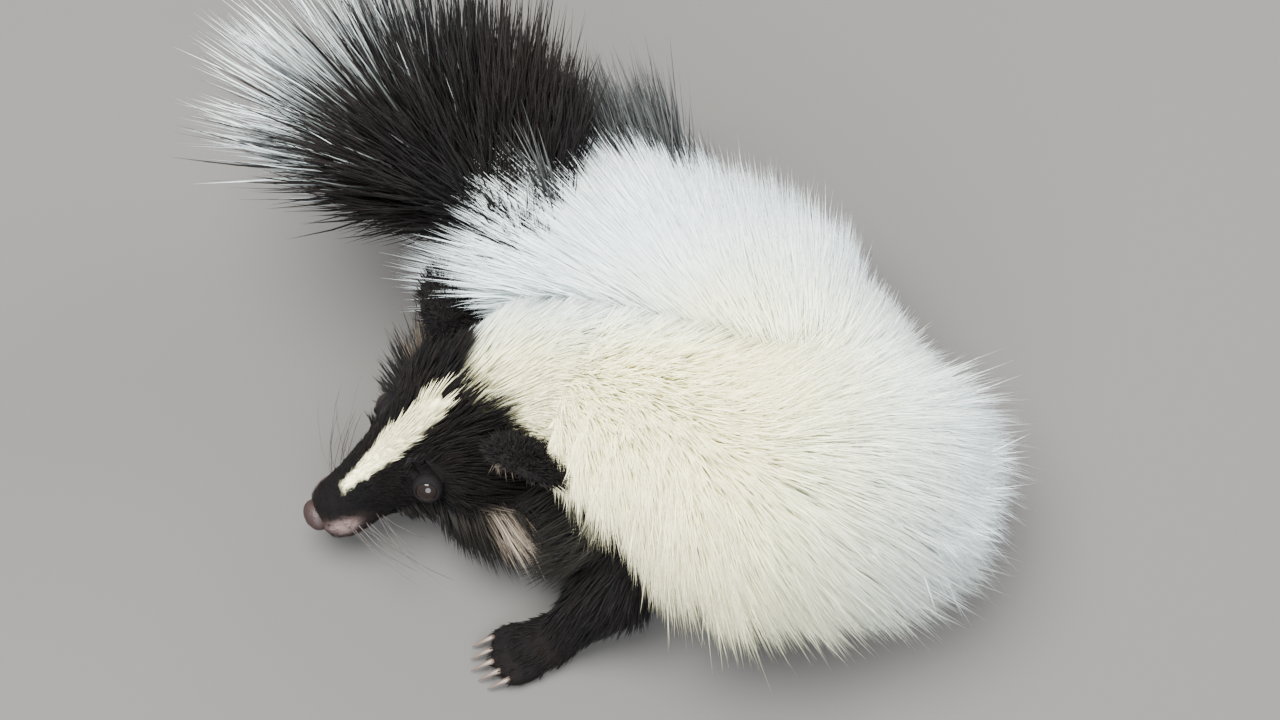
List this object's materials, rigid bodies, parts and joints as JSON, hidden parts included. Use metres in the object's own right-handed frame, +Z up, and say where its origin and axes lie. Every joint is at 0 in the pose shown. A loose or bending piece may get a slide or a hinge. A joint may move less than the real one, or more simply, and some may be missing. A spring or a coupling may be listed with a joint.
{
  "type": "animal model",
  "caption": "Young striped skunk curled on the ground in a tight C, white cape over a black body, head low, long-haired tail fanned beside it.",
  "frame": {"origin": "middle of the underside of the whole, on the ground it rests on", "axes": "+Z up from the ground, +X from the nose's end to the bend of the back, +Y from the near flank to the tail's side"},
  "size_m": [0.2006, 0.1712, 0.1045],
  "materials": {
    "black_fur": "soft black fur with brown depths",
    "white_fur": "long white fur, black at the flanks and underside",
    "nose_skin": "moist dark skin",
    "eye": "wet and dark"
  },
  "bodies": {
    "root": {"head": "black_fur", "jaw": "black_fur", "nose": "nose_skin", "eye_left": "eye", "eye_right": "eye", "ear_left": "black_fur", "ear_right": "black_fur", "neck": "white_fur", "torso": "white_fur", "tail": "black_fur", "foreleg_left": "black_fur", "foreleg_right": "black_fur", "hindleg_left": "black_fur", "hindleg_right": "black_fur", "forepaw_left": "black_fur", "forepaw_right": "black_fur", "hindpaw_left": "black_fur", "hindpaw_right": "black_fur"}
  },
  "joints": []
}
